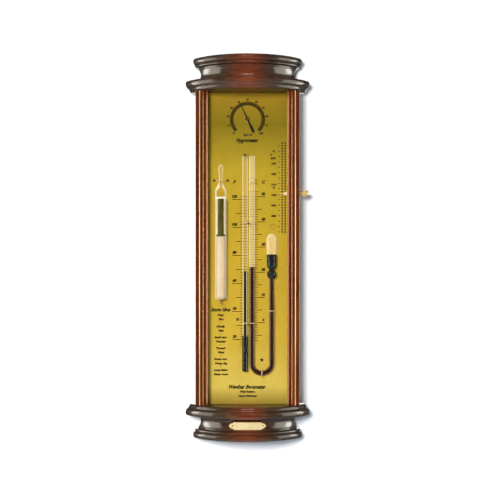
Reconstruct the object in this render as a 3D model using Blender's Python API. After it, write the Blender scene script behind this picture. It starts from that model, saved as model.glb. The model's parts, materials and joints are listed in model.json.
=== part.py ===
"""Bow-fronted wall weather station, as separate pieces.

A mahogany case holds a gilt dial plate behind bent glass. On the plate are a hygrometer,
a storm glass, a spirit thermometer and a U-tube barometer with a sliding set pointer.

The wall is the plane Y = 0, the front faces -Y and Z is up. Sizes below are millimetres,
and each mesh is turned into metres as it is made. "Depth" means distance from the wall.
"""
import math

import bmesh
import bpy

for old in list(bpy.data.objects):
    bpy.data.objects.remove(old, do_unlink=True)

MM = 0.001
GAP = 0.3                # space left between seated faces
RUN = 0.06               # radial running clearance of a turning or sliding piece

# Case
CASE_HALF_W = 65.0       # outside of the side walls
CASE_HALF_H = 196.7      # half the height between cornice and plinth
BOARD_T = 10.0           # back board thickness
SIDE_T = 9.0             # side wall thickness
REBATE = 3.7             # wall left outside the back board
SIDE_D = 20.7            # side wall depth
PILLAR_W = 15.5
PILLAR_D = 26.4          # depth of the pillar's flat fillets
PILLAR_BULGE = 3.6       # how far the round stands in front of them
ROUND_FROM_EDGE = 7.5    # outer face of the case to the middle of the round
ROUND_HALF = 3.7
BEVEL_W = 2.2            # bevel beside the glass
LIP_T = 1.7              # wood in front of the glass's edge
EASE = 0.5               # eased corners of the pillars
BOW_BACK = 36.0          # the bow's centre lies this far behind the wall
BOW_EXTRA = 14.0         # bow radius minus half width, for every moulding
BOW_STEPS = 18

# Glass and plate
GLASS_T = 2.0
GLASS_LAP = 3.0          # how far the glass stands in its top and bottom grooves
GLASS_IN_PILLAR = 4.1    # how far the glass reaches past the pillar's inner edge
PLATE_T = 1.2
PLATE_FACE = BOARD_T + GAP + PLATE_T

# Hygrometer
HYGRO_Z = CASE_HALF_H - 34.1
CUP_R = 15.0
CUP_WALL = 0.8
SPINDLE_R = 0.8
NEEDLE_TIP = 23.3
NEEDLE_TAIL = 19.0
NEEDLE_REST = 24.9       # degrees anticlockwise of straight up

# Tubes
BULB_R = 6.3
TUBE_D = PLATE_FACE + BULB_R + 0.5    # depth of the thermometer and barometer axes
THERMO_X = -3.1
THERMO_R = 3.25
THERMO_BORE = 1.5
THERMO_BULB_R = 3.7
SPIRIT_TOP = -28.9
TUBE_TOP = 115.5
BARO_X = 5.6
BARO_R = 3.55
BARO_BORE = 2.05
BEND_R = 12.35
BEND_Z = -145.0
FLUID_LEFT = -23.7
FLUID_RIGHT = -8.0

# Storm glass
STORM_X = -33.5
STORM_R = 7.5
STORM_WALL = 1.0
STORM_FOOT = -67.2
STORM_TIP = 104.6
STORM_LEVEL = 62.2
CRYSTAL_TOP = 17.1
STORM_D = PLATE_FACE + GAP + STORM_R + 0.1
STORM_CLIP_Z = 85.4

# Wire clips
WIRE_R = 0.4
WIRE_END = 7.0           # depth at which the wires stop, inside the back board

# Set pointer
POINTER_Z = 68.8
POINTER_UP = 62.0
POINTER_DOWN = 49.0
STEM_R = 1.2
STEM_D = 15.4
KNOB_R = 3.75
KNOB_END = CASE_HALF_W + 11.9

# Name plate and hanger
NAME_HALF_L = 23.4
NAME_HALF_H = 4.7
NAME_Z = -(CASE_HALF_H + 24.0)
NAME_R = CASE_HALF_W + 10.6
NAME_T = 0.8
NAME_PIN = 19.2
HANGER_Z = CASE_HALF_H - 9.7
HANGER_HALF_W = 22.0
HANGER_HALF_H = 7.5
HANGER_T = 1.5

FINISHES = {
    "mahogany_dark": ((0.055, 0.020, 0.012), 0.22, 0.0),
    "mahogany_red": ((0.230, 0.065, 0.025), 0.25, 0.0),
    "plywood": ((0.420, 0.270, 0.150), 0.60, 0.0),
    "gilt_plate": ((0.560, 0.430, 0.090), 0.38, 0.6),
    "brass": ((0.800, 0.600, 0.250), 0.22, 1.0),
    "steel": ((0.550, 0.550, 0.560), 0.35, 1.0),
    "black_paint": ((0.015, 0.015, 0.016), 0.35, 0.0),
    "clear_glass": ((0.900, 0.950, 0.950), 0.03, 0.0),
    "blue_spirit": ((0.012, 0.016, 0.024), 0.12, 0.0),
    "red_fluid": ((0.060, 0.008, 0.006), 0.12, 0.0),
    "storm_fluid": ((0.300, 0.300, 0.200), 0.08, 0.0),
    "crystal": ((0.850, 0.850, 0.820), 0.70, 0.0),
    "cork": ((0.450, 0.300, 0.180), 0.85, 0.0),
    "felt": ((0.050, 0.090, 0.050), 0.95, 0.0),
}


def finish(name):
    """Return the named finish, made once."""
    mat = bpy.data.materials.get(name)
    if mat is None:
        colour, rough, metal = FINISHES[name]
        mat = bpy.data.materials.new(name)
        mat.use_nodes = True
        shader = mat.node_tree.nodes["Principled BSDF"]
        shader.inputs["Base Color"].default_value = (*colour, 1.0)
        shader.inputs["Roughness"].default_value = rough
        shader.inputs["Metallic"].default_value = metal
        mat.diffuse_color = (*colour, 1.0)
    return mat


def make(name, shape, finish_name, pivot=(0.0, 0.0, 0.0)):
    """Add one closed piece from millimetre points and faces, with its origin at pivot."""
    verts, faces = shape
    mesh = bpy.data.meshes.new(name)
    mesh.from_pydata([[(v[i] - pivot[i]) * MM for i in range(3)] for v in verts], [], faces)
    edit = bmesh.new()
    edit.from_mesh(mesh)
    bmesh.ops.recalc_face_normals(edit, faces=edit.faces)
    edit.to_mesh(mesh)
    edit.free()
    mesh.shade_smooth()
    mesh.set_sharp_from_angle(angle=math.radians(35))
    mesh.materials.append(finish(finish_name))
    obj = bpy.data.objects.new(name, mesh)
    obj.location = [p * MM for p in pivot]
    bpy.context.scene.collection.objects.link(obj)
    return obj


def make_cutter(name, shapes):
    """Add one hidden cutter that holds every shape in the list."""
    verts, faces = [], []
    for more_verts, more_faces in shapes:
        first = len(verts)
        verts.extend(more_verts)
        faces.extend([[first + i for i in face] for face in more_faces])
    obj = make(name, (verts, faces), "steel")
    obj.hide_render = True
    obj.display_type = "WIRE"
    return obj


def cut(obj, *cutters):
    """Take each cutter out of a piece."""
    for cutter in cutters:
        mod = obj.modifiers.new(cutter.name, "BOOLEAN")
        mod.operation = "DIFFERENCE"
        mod.solver = "EXACT"
        mod.object = cutter


def skin(rings, loop=False):
    """Join rings of points into faces. A ring of one point is a pole."""
    verts, first = [], []
    for ring in rings:
        first.append(len(verts))
        verts.extend(ring)
    pairs = [(k, k + 1) for k in range(len(rings) - 1)]
    if loop:
        pairs.append((len(rings) - 1, 0))
    faces = []
    for a, b in pairs:
        count_a, count_b = len(rings[a]), len(rings[b])
        count = max(count_a, count_b)
        for i in range(count):
            j = (i + 1) % count
            quad = [first[a] + i % count_a, first[a] + j % count_a]
            quad += [first[b] + j % count_b, first[b] + i % count_b]
            faces.append(list(dict.fromkeys(quad)))
    if not loop:
        for k in (0, len(rings) - 1):
            if len(rings[k]) > 2:
                faces.append([first[k] + i for i in range(len(rings[k]))])
    return verts, faces


def lathe(profile, axis, centre, sides=16, loop=False):
    """Turn (radius, position) pairs about an axis. Positions on Y are depths from the wall."""
    cx, cy, cz = centre
    rings = []
    for radius, at in profile:
        ring = []
        for k in range(sides if radius > 0 else 1):
            turn = math.tau * (k + 0.5) / sides
            u, v = radius * math.cos(turn), radius * math.sin(turn)
            point = {"X": (at, cy + u, cz + v), "Y": (cx + u, -at, cz + v), "Z": (cx + u, cy + v, at)}
            ring.append(point[axis])
        rings.append(ring)
    return skin(rings, loop)


def prism(outline, low, high, axis="Z"):
    """Extrude an outline. On Z the outline is (x, depth); on Y it is (x, z) between depths."""
    if axis == "Z":
        return skin([[(x, -d, at) for x, d in outline] for at in (low, high)])
    return skin([[(x, -at, z) for x, z in outline] for at in (low, high)])


def block(x0, x1, d0, d1, z0, z1):
    """A plain box between two x, two depths and two heights."""
    return prism([(x0, d0), (x1, d0), (x1, d1), (x0, d1)], z0, z1)


def rod(path, radii, sides, normal):
    """Rings of points round a flat path; normal is the path plane's unit normal."""
    rings = []
    for k, here in enumerate(path):
        before, after = path[max(k - 1, 0)], path[min(k + 1, len(path) - 1)]
        run = [after[i] - before[i] for i in range(3)]
        length = math.sqrt(sum(c * c for c in run))
        run = [c / length for c in run]
        side = [run[1] * normal[2] - run[2] * normal[1],
                run[2] * normal[0] - run[0] * normal[2],
                run[0] * normal[1] - run[1] * normal[0]]
        ring = []
        for s in range(sides):
            turn = math.tau * (s + 0.5) / sides
            u, v = radii[k] * math.cos(turn), radii[k] * math.sin(turn)
            ring.append([here[i] + u * normal[i] + v * side[i] for i in range(3)])
        rings.append(ring)
    return rings


def arc(cx, cy, radius, start, stop, steps):
    """Points on an arc, angles in degrees from +x, turning to the second axis."""
    turns = [math.radians(start + (stop - start) * k / steps) for k in range(steps + 1)]
    return [(cx + radius * math.cos(t), cy + radius * math.sin(t)) for t in turns]


# ---------------------------------------------------------------- case mouldings

def bow_outline(half_w):
    """Plan of one moulding level: flat back, short side returns and a bowed front."""
    radius = half_w + BOW_EXTRA
    half_turn = math.degrees(math.asin(half_w / radius))
    front = arc(0.0, -BOW_BACK, radius, 90 + half_turn, 90 - half_turn, BOW_STEPS)
    return [(-half_w, 0.0)] + front + [(half_w, 0.0)]


def moulding(name, profile, foot, flip):
    """Stack profile levels from a foot height; flip turns a cornice piece into its plinth twin."""
    levels = [[(x, -d, flip * (foot + z)) for x, d in bow_outline(CASE_HALF_W + w)] for w, z in profile]
    return make(name, skin(levels), "mahogany_dark")


BED_H, COVE_H = 14.3, 16.4
BED_TOP = CASE_HALF_H + BED_H
COVE_TOP = BED_TOP + GAP + COVE_H
CAP_FOOT = COVE_TOP + GAP
# (distance outside the case's side, height above the piece's own foot)
BED_PROFILE = [(6.2, 0.0), (8.6, 2.5), (10.2, 5.5), (11.4, 6.3), (12.7, 8.2), (13.1, 10.6), (12.3, 12.9),
               (10.6, 14.1), (8.3, BED_H)]
COVE_PROFILE = [(-1.8, 0.0), (-4.2, 1.7), (-5.5, 4.3), (-6.0, 7.6), (-5.3, 10.5), (-4.1, 13.5),
                (-2.4, COVE_H)]
CAP_PROFILE = [(-1.8, 0.0), (0.4, 0.6), (1.3, 2.2), (0.9, 3.7), (1.9, 4.2), (3.3, 5.6), (3.8, 7.7),
               (3.2, 10.0), (1.7, 11.5), (-0.2, 12.0)]


def arc_slab(radius, thick, half_turn, z0, z1, steps):
    """A bent sheet, such as the glass or its groove."""
    outer = arc(0.0, -BOW_BACK, radius, 90 + half_turn, 90 - half_turn, steps)
    inner = arc(0.0, -BOW_BACK, radius - thick, 90 - half_turn, 90 + half_turn, steps)
    return prism(outer + inner, z0, z1)


PILLAR_IN = CASE_HALF_W - PILLAR_W
GLASS_SEAT = PILLAR_D - LIP_T
GLASS_EDGE_X = PILLAR_IN + GLASS_IN_PILLAR
GLASS_R = math.hypot(PILLAR_IN, BOW_BACK + GLASS_SEAT) - GAP    # outside of the bent front glass
GLASS_TURN = math.degrees(math.asin(GLASS_EDGE_X / GLASS_R))
GLASS_HALF_H = CASE_HALF_H + GLASS_LAP
GROOVE_SIDE = 0.5        # degrees of room at each end of a groove
BED_PARTS = {1: "cornice", -1: "plinth"}
for flip in (1, -1):
    bed = moulding(BED_PARTS[flip] + "_bed", BED_PROFILE, CASE_HALF_H, flip)
    groove = arc_slab(GLASS_R + GAP, GLASS_T + 2 * GAP, GLASS_TURN + GROOVE_SIDE,
                      flip * (CASE_HALF_H - 2.0), flip * (GLASS_HALF_H + GAP), 12)
    cut(bed, make_cutter(BED_PARTS[flip] + "_groove", [groove]))
moulding("cornice_cove", COVE_PROFILE, BED_TOP + GAP, 1)
moulding("cornice_cap", CAP_PROFILE, CAP_FOOT, 1)
plinth_cove = moulding("plinth_cove", COVE_PROFILE, BED_TOP + GAP, -1)
moulding("plinth_foot", CAP_PROFILE, CAP_FOOT, -1)

make("front_glass", arc_slab(GLASS_R, GLASS_T, GLASS_TURN, -GLASS_HALF_H, GLASS_HALF_H, 16),
     "clear_glass")

# ---------------------------------------------------------------- walls and pillars

WALL_TOP = CASE_HALF_H - GAP
SIDE_IN = CASE_HALF_W - SIDE_T
BOARD_HALF_W = CASE_HALF_W - REBATE - GAP
SEAT_X = GLASS_EDGE_X + 0.7

side_section = [(CASE_HALF_W, 0.0), (CASE_HALF_W - REBATE, 0.0), (CASE_HALF_W - REBATE, BOARD_T + GAP),
                (SIDE_IN, BOARD_T + GAP), (SIDE_IN, SIDE_D), (CASE_HALF_W, SIDE_D)]
round_mid = CASE_HALF_W - ROUND_FROM_EDGE
round_rise = PILLAR_BULGE + EASE
pillar_round = [(round_mid + ROUND_HALF * math.cos(t), PILLAR_D - EASE + round_rise * math.sin(t))
                for t in [math.pi * k / 12 for k in range(13)]]
pillar_section = [(CASE_HALF_W, SIDE_D + GAP), (CASE_HALF_W, PILLAR_D - EASE),
                  (CASE_HALF_W - EASE, PILLAR_D), (round_mid + ROUND_HALF + 0.3, PILLAR_D)]
pillar_section += pillar_round
pillar_section += [(round_mid - ROUND_HALF - 0.3, PILLAR_D), (PILLAR_IN + BEVEL_W, PILLAR_D),
                   (PILLAR_IN, GLASS_SEAT), (SEAT_X, GLASS_SEAT), (SEAT_X, SIDE_D + GAP)]
sides = {}
for tag, sign in (("left", -1), ("right", 1)):
    side_shape = prism([(sign * x, d) for x, d in side_section], -WALL_TOP, WALL_TOP)
    sides[tag] = make(tag + "_side", side_shape, "mahogany_red")
    pillar_shape = prism([(sign * x, d) for x, d in pillar_section], -WALL_TOP, WALL_TOP)
    make(tag + "_pillar", pillar_shape, "mahogany_red")

slot_half = STEM_R + RUN
slot = block(SIDE_IN - 1, CASE_HALF_W + 1, STEM_D - slot_half, STEM_D + slot_half,
             POINTER_Z - POINTER_DOWN - slot_half - 0.5, POINTER_Z + POINTER_UP + slot_half + 0.5)
cut(sides["right"], make_cutter("pointer_slot", [slot]))

board_shape = block(-BOARD_HALF_W, BOARD_HALF_W, 0.0, BOARD_T, -WALL_TOP, WALL_TOP)
board = make("back_board", board_shape, "plywood")
plate_shape = block(-SIDE_IN + GAP, SIDE_IN - GAP, BOARD_T + GAP, PLATE_FACE, -WALL_TOP, WALL_TOP)
plate = make("dial_plate", plate_shape, "gilt_plate")

# ---------------------------------------------------------------- screws and hanger

SCREW_X = CASE_HALF_W - 7.0
SCREW_PITCH = CASE_HALF_H - 36.7
HANGER_SCREW_X = 16.0


def screw(x, z, head_r, shank_r, tip, grow=0.0):
    """A countersunk screw driven from the back, or its hole when grow is not zero."""
    top = -1.0 if grow else 0.2
    return lathe([(0.0, top), (head_r + grow, top), (head_r + grow, 0.25 + grow / 3),
                  (shank_r + grow, 1.6 + grow / 2), (shank_r + grow, tip - 1.0), (0.0, tip + grow)],
                 "Y", (x, 0.0, z), 12)


screws = {}
for k in range(6):
    spot = (math.copysign(SCREW_X, k % 2 - 0.5), SCREW_PITCH * (k // 2 - 1))
    screws["back_screw_%d" % (k + 1)] = (*spot, 2.3, 1.1, SIDE_D - 2.7)
for tag, sign in (("left", -1), ("right", 1)):
    screws["hanger_screw_" + tag] = (sign * HANGER_SCREW_X, HANGER_Z, 2.4, 0.9, BOARD_T - 1.6)

drive = make_cutter("drive_slots", [block(x - r, x + r, -0.5, 0.7, z - 0.35, z + 0.35)
                                    for x, z, r, shank, tip in screws.values()])
screw_holes = make_cutter("screw_holes", [screw(*sizes, grow=GAP) for sizes in screws.values()])
for name, sizes in screws.items():
    cut(make(name, screw(*sizes), "brass" if "hanger" in name else "steel"), drive)
for tag in sides:
    cut(sides[tag], screw_holes)

seat_half_w, seat_half_h = HANGER_HALF_W + GAP, HANGER_HALF_H + GAP
seat = [block(-seat_half_w, seat_half_w, -1.0, HANGER_T + 0.5, HANGER_Z - seat_half_h,
              HANGER_Z + seat_half_h)]
pocket = [block(-6.5, 6.5, 1.0, 8.0, HANGER_Z - 6.0, HANGER_Z + 6.0)]
cup_recess = [lathe([(0.0, 2.0), (CUP_R + GAP, 2.0), (CUP_R + GAP, 12.0), (0.0, 12.0)], "Y",
                    (0.0, 0.0, HYGRO_Z), 32)]
keyhole = arc(0.0, HANGER_Z - 1.4, 4.0, -240, 60, 20) + arc(0.0, HANGER_Z + 3.0, 2.0, 0, 180, 8)
hanger = make("hanger_plate", block(-HANGER_HALF_W, HANGER_HALF_W, 0.2, 0.2 + HANGER_T,
                                    HANGER_Z - HANGER_HALF_H, HANGER_Z + HANGER_HALF_H), "brass")
cut(hanger, make_cutter("keyhole", [prism(keyhole, -1.0, 3.0, "Y")]), screw_holes)

# ---------------------------------------------------------------- hygrometer

hygro = (0.0, 0.0, HYGRO_Z)
hole_r = SPINDLE_R + RUN
floor = 3.5
cup = [(hole_r, 2.3), (CUP_R, 2.3), (CUP_R, 9.7), (CUP_R - CUP_WALL, 9.7), (CUP_R - CUP_WALL, floor),
       (hole_r, floor)]
make("hygrometer_cup", lathe(cup, "Y", hygro, 32, loop=True), "brass")
make("hygrometer_bush", lathe([(hole_r, 10.1), (2.0, 10.1), (2.0, PLATE_FACE + GAP), (3.1, PLATE_FACE + GAP),
                               (3.1, 12.3), (2.7, 12.5), (hole_r, 12.5)], "Y", hygro, 32, loop=True), "brass")

coil_turns, coil_steps = 3.25, 52
coil_rings = []
for k in range(coil_steps + 1):
    turn = math.tau * coil_turns * k / coil_steps
    radius = 2.45 + (CUP_R - CUP_WALL - GAP - 0.15 - 2.45) * k / coil_steps
    coil_rings.append([((radius + thick) * math.cos(turn), -d, HYGRO_Z + (radius + thick) * math.sin(turn))
                       for thick, d in ((-0.15, 5.0), (0.15, 5.0), (0.15, 8.0), (-0.15, 8.0))])
make("hygrometer_coil", skin(coil_rings), "steel")

spindle_pivot = (0.0, -PLATE_FACE, HYGRO_Z)
make("hygrometer_spindle", lathe([(0.0, 2.4), (SPINDLE_R, 2.4), (SPINDLE_R, 4.8), (2.0, 4.8), (2.0, 8.2),
                                  (SPINDLE_R, 8.2), (SPINDLE_R, 14.2), (0.0, 14.2)], "Y", hygro, 32),
     "steel", spindle_pivot)

needle_outline = ([(NEEDLE_TIP, 0.25), (12.0, 0.55), (3.6, 0.85)] +
                  arc(0.0, 0.0, 2.5, 30, 150, 6) +
                  [(-4.2, 0.8), (-11.0, 1.5), (-NEEDLE_TAIL + 1.6, 1.65), (-NEEDLE_TAIL, 0.5)])
needle_outline += [(u, -v) for u, v in reversed(needle_outline)]
lean = math.radians(90 + NEEDLE_REST)
needle_outline = [(u * math.cos(lean) - v * math.sin(lean),
                   HYGRO_Z + u * math.sin(lean) + v * math.cos(lean)) for u, v in needle_outline]
needle = make("hygrometer_needle", prism(needle_outline, 12.9, 13.4, "Y"), "black_paint", spindle_pivot)
cut(needle, make_cutter("needle_hole", [lathe([(0.0, 12.0), (SPINDLE_R + GAP, 12.0), (SPINDLE_R + GAP, 14.5),
                                               (0.0, 14.5)], "Y", hygro, 16)]))
make("hygrometer_cap", lathe([(0.0, 14.5), (SPINDLE_R + GAP, 14.5), (SPINDLE_R + GAP, 13.7), (2.2, 13.7),
                              (2.2, 14.6), (1.7, 15.3), (0.8, 15.7), (0.0, 15.8)], "Y", hygro, 20),
     "brass", spindle_pivot)

# ---------------------------------------------------------------- thermometer

thermo = (THERMO_X, -TUBE_D, 0.0)
bulb_end, bulb_neck = -156.2, -112.5
make("thermometer_glass", lathe([
    (0.0, bulb_end), (2.3, bulb_end + 0.3), (3.4, bulb_end + 1.3), (THERMO_BULB_R, bulb_end + 3.0),
    (THERMO_BULB_R, bulb_neck), (THERMO_R, bulb_neck + 6.0), (THERMO_R, TUBE_TOP), (THERMO_BORE, TUBE_TOP),
    (THERMO_BORE, bulb_neck + 6.0), (THERMO_BULB_R - 0.8, bulb_neck), (THERMO_BULB_R - 0.8, bulb_end + 3.0),
    (2.0, bulb_end + 1.4), (0.0, bulb_end + 1.0)], "Z", thermo, 14), "clear_glass")
make("thermometer_spirit", lathe([
    (0.0, bulb_end + 1.4), (1.7, bulb_end + 1.8), (THERMO_BULB_R - 0.8 - GAP, bulb_end + 3.2),
    (THERMO_BULB_R - 0.8 - GAP, bulb_neck - 0.2), (THERMO_BORE - GAP, bulb_neck + 6.0),
    (THERMO_BORE - GAP, SPIRIT_TOP), (0.0, SPIRIT_TOP)], "Z", thermo, 12), "blue_spirit")
thermo_cap = [(0.0, GAP), (2.3, GAP), (2.3, 1.6), (1.2, 2.4), (0.0, 2.6)]
make("thermometer_cap", lathe([(r, TUBE_TOP + z) for r, z in thermo_cap], "Z", thermo, 14), "black_paint")

# ---------------------------------------------------------------- barometer

arm_x = BARO_X + 2 * BEND_R
bend = arc(BARO_X + BEND_R, BEND_Z, BEND_R, 180, 360, 12)
# height, outside radius and inside radius up the short arm: thread, ball, neck and bulb
ARM = [(-62.0, BARO_R, BARO_BORE), (-55.0, 3.3, 1.25), (-38.5, 3.3, 1.25), (-36.3, 4.2, 2.6),
       (-34.6, 5.5, 4.4), (-32.3, 6.0, 5.2), (-30.2, 5.6, 4.6), (-28.4, 4.2, 3.0), (-27.2, 3.1, 2.0),
       (-25.6, 4.2, 3.0), (-23.6, 5.6, 4.5), (-20.6, BULB_R, BULB_R - 0.8), (10.0, BULB_R, BULB_R - 0.8),
       (14.0, 5.7, 4.8), (16.9, 3.4, 2.4)]
path = [(BARO_X, -TUBE_D, TUBE_TOP)] + [(x, -TUBE_D, z) for x, z in bend]
path += [(arm_x, -TUBE_D, z) for z, outer, inner in ARM]
outer_r = [BARO_R] * 14 + [outer for z, outer, inner in ARM]
inner_r = [BARO_BORE] * 14 + [inner for z, outer, inner in ARM]
outside = rod(path, outer_r, 12, (0.0, 1.0, 0.0)) + [[(arm_x, -TUBE_D, 18.2)]]
inside = rod(path, inner_r, 12, (0.0, 1.0, 0.0)) + [[(arm_x, -TUBE_D, 17.3)]]
make("barometer_tube", skin(outside[::-1] + inside), "clear_glass")

wet_path = [(BARO_X, -TUBE_D, FLUID_LEFT)] + path[1:-3] + [(arm_x, -TUBE_D, FLUID_RIGHT)]
wet_r = [r - GAP for r in inner_r[:-3]] + [BULB_R - 0.8 - GAP]
make("barometer_fluid", skin(rod(wet_path, wet_r, 10, (0.0, 1.0, 0.0))), "red_fluid")

# ---------------------------------------------------------------- storm glass

storm = (STORM_X, -STORM_D, 0.0)
bore = STORM_R - STORM_WALL
vent = 0.35
make("storm_glass", lathe([
    (0.0, STORM_FOOT), (3.4, STORM_FOOT + 0.8), (6.0, STORM_FOOT + 3.0), (STORM_R, STORM_FOOT + 7.0),
    (STORM_R, 71.5), (6.6, 75.0), (4.3, 78.2), (3.0, 81.5), (2.5, 85.0), (2.4, 89.5), (2.7, 94.0),
    (3.3, 97.5), (3.2, 100.5), (2.2, 103.3), (vent, STORM_TIP), (vent, 101.5), (1.5, 98.0), (1.2, 90.0),
    (1.4, 84.0), (2.2, 80.0), (3.6, 76.8), (5.7, 73.9), (bore, 71.0), (bore, STORM_FOOT + 7.2),
    (5.1, STORM_FOOT + 4.0), (2.9, STORM_FOOT + 2.2), (0.0, STORM_FOOT + 1.4)], "Z", storm, 18),
    "clear_glass")
make("storm_crystals", lathe([
    (0.0, STORM_FOOT + 1.8), (2.7, STORM_FOOT + 2.6), (4.8, STORM_FOOT + 4.4), (bore - GAP, STORM_FOOT + 7.6),
    (bore - GAP, CRYSTAL_TOP - 2.0), (5.0, CRYSTAL_TOP - 0.6), (2.5, CRYSTAL_TOP), (0.0, CRYSTAL_TOP)],
    "Z", storm, 16), "crystal")
make("storm_liquid", lathe([
    (0.0, CRYSTAL_TOP + GAP), (2.5, CRYSTAL_TOP + GAP), (5.0, CRYSTAL_TOP - 0.3),
    (bore - GAP, CRYSTAL_TOP - 1.7), (bore - GAP, STORM_LEVEL), (bore - 1.6, STORM_LEVEL - 0.6),
    (0.0, STORM_LEVEL - 0.9)], "Z", storm, 16), "storm_fluid")

# ---------------------------------------------------------------- wire clips and pins

pin_spots = []           # x, height and hole radius of everything that enters the board


def over_tube(x, radius, start, stop, proud=0.0):
    """Points of a wire laid over the front of a tube, as (x, depth)."""
    reach = radius + GAP + WIRE_R
    stretch = 1 + proud / reach
    return [(px, TUBE_D + (d - TUBE_D) * stretch) for px, d in arc(x, TUBE_D, reach, start, stop, 10)]


def wire(name, run, normal=(0.0, 0.0, 1.0)):
    """A round brass wire along a flat run of points."""
    make(name, skin(rod(run, [WIRE_R] * len(run), 6, normal)), "brass")


def staple(name, over, z, lean=0.0):
    """A wire whose ends stand in the board. A lean makes one end higher than the other."""
    flat = [(over[0][0], WIRE_END)] + over + [(over[-1][0], WIRE_END)]
    mid, half = (over[0][0] + over[-1][0]) / 2, (over[-1][0] - over[0][0]) / 2
    run = [(x, -d, z + lean * (x - mid) / half) for x, d in flat]
    pin_spots.extend([(run[0][0], run[0][2], WIRE_R + GAP), (run[-1][0], run[-1][2], WIRE_R + GAP)])
    wire(name, run)


def pin(name, x, z, shank_r, head_r, head_at, finish_name="brass"):
    """A round-headed pin that stands in the board."""
    pin_spots.append((x, z, shank_r + GAP))
    make(name, lathe([(0.0, WIRE_END), (shank_r, WIRE_END), (shank_r, head_at), (head_r, head_at),
                      (head_r, head_at + 0.4), (head_r * 0.6, head_at + 0.9), (0.0, head_at + 1.0)],
                     "Y", (x, 0.0, z), 12), finish_name)


between = (THERMO_X + THERMO_R + BARO_X - BARO_R) / 2
dip = 2.4                # the clips dip this far in front of the axes between the tubes
for tag, z in (("upper", 32.6), ("lower", -94.2)):
    over = over_tube(THERMO_X, THERMO_R, 180, 50) + [(between, TUBE_D + dip)]
    over += over_tube(BARO_X, BARO_R, 130, 0)
    staple("tube_clip_" + tag, over, z)
    pin("tube_pin_" + tag, between, z - 1.5, 0.45, 1.4, TUBE_D + dip + WIRE_R + 1.1)
    rest = block(THERMO_X - 2.5, BARO_X + 2.6, PLATE_FACE + GAP, TUBE_D - BARO_R - GAP, z + 1.6, z + 5.6)
    make("tube_rest_" + tag, rest, "cork")

top_z = 84.6
staple("barometer_clip_under", over_tube(BARO_X, BARO_R, 180, 0), top_z, 2.6)
staple("barometer_clip_over", over_tube(BARO_X, BARO_R, 180, 0, 2 * WIRE_R + GAP), top_z, -2.6)
staple("arm_clip", over_tube(arm_x, BARO_R, 180, 0), -78.8)

bend_x, bend_low = BARO_X + BEND_R, BEND_Z - BEND_R
loop = [(z, d) for z, d in arc(bend_low, TUBE_D, BARO_R + GAP + WIRE_R, 180, 0, 10)]
loop = [(loop[0][0], WIRE_END)] + loop + [(loop[-1][0], WIRE_END)]
wire("bend_clip", [(bend_x, -d, z) for z, d in loop], (1.0, 0.0, 0.0))
pin_spots.extend([(bend_x, loop[0][0], WIRE_R + GAP), (bend_x, loop[-1][0], WIRE_R + GAP)])
bend_rest = block(bend_x - 4, bend_x + 4, PLATE_FACE + GAP, TUBE_D - BARO_R - GAP, bend_low - 2.4,
                  bend_low + 2.4)
make("bend_rest", bend_rest, "cork")

storm_reach = 8.4
for tag, sign in (("left", -1), ("right", 1)):
    pin("storm_screw_" + tag, STORM_X + sign * storm_reach, STORM_CLIP_Z, 0.7, 1.7, PLATE_FACE + GAP, "steel")
neck = arc(STORM_X, STORM_D, 2.5 + GAP + WIRE_R, 180, 0, 10)
reach = storm_reach - 1.7 - GAP
foot_d = PLATE_FACE + GAP + WIRE_R
storm_run = [(STORM_X - reach, foot_d), (STORM_X - 4.2, foot_d + 0.8)] + neck
storm_run += [(STORM_X + 4.2, foot_d + 0.8), (STORM_X + reach, foot_d)]
wire("storm_clip", [(x, -d, STORM_CLIP_Z) for x, d in storm_run])
pin("storm_peg", STORM_X, STORM_FOOT - GAP - 0.9, 0.9, 1.3, 25.0)

hole_foot, hole_top = WIRE_END - GAP, PLATE_FACE + 1.5
pin_drills = []
for x, z, r in pin_spots:
    drill = [(0.0, hole_foot), (r, hole_foot), (r, hole_top), (0.0, hole_top)]
    pin_drills.append(lathe(drill, "Y", (x, 0.0, z), 8))
pin_holes = make_cutter("pin_holes", pin_drills)
board_cutter = make_cutter("board_recesses", seat + cup_recess)
pocket_cutter = make_cutter("hanger_pocket", pocket)
cut(board, board_cutter, pocket_cutter, screw_holes, pin_holes)
bush_drill = [(0.0, BOARD_T - 1.0), (2.3, BOARD_T - 1.0), (2.3, hole_top), (0.0, hole_top)]
bush_hole = make_cutter("bush_hole", [lathe(bush_drill, "Y", hygro, 20)])
cut(plate, bush_hole, pin_holes)

# ---------------------------------------------------------------- set pointer and knob

stem_pivot = (SIDE_IN, -STEM_D, POINTER_Z)
stem_axis = (0.0, -STEM_D, POINTER_Z)
hand_end = SIDE_IN - GAP
hand = [(hand_end - 17.5, 0.08), (hand_end - 9.7, 0.45), (hand_end - 8.7, 1.9), (hand_end, 1.9)]
hand += [(x, -v) for x, v in reversed(hand)]
hand_shape = prism([(x, POINTER_Z + v) for x, v in hand], PLATE_FACE + 0.5, PLATE_FACE + 1.2, "Y")
make("pointer_hand", hand_shape, "brass", stem_pivot)
block_shape = block(hand_end - 7.7, hand_end, PLATE_FACE + 1.5, STEM_D + STEM_R + GAP, POINTER_Z - 2.2,
                    POINTER_Z + 2.2)
make("pointer_block", block_shape, "brass", stem_pivot)
stem_end, washer_r, washer_bore = KNOB_END - 3.3, 3.2, STEM_R + 0.2
washer_in, washer_out = CASE_HALF_W + 0.1, CASE_HALF_W + 0.9
knob_bore, knob_foot = STEM_R + GAP, washer_out + 0.2
make("pointer_stem", lathe([(0.0, SIDE_IN), (STEM_R, SIDE_IN), (STEM_R, stem_end), (0.0, stem_end)], "X",
                           stem_axis, 16), "brass", stem_pivot)
make("pointer_washer", lathe([(washer_bore, washer_in), (washer_r, washer_in), (washer_r, washer_out),
                              (washer_bore, washer_out)], "X", stem_axis, 20, loop=True), "felt", stem_pivot)
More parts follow.
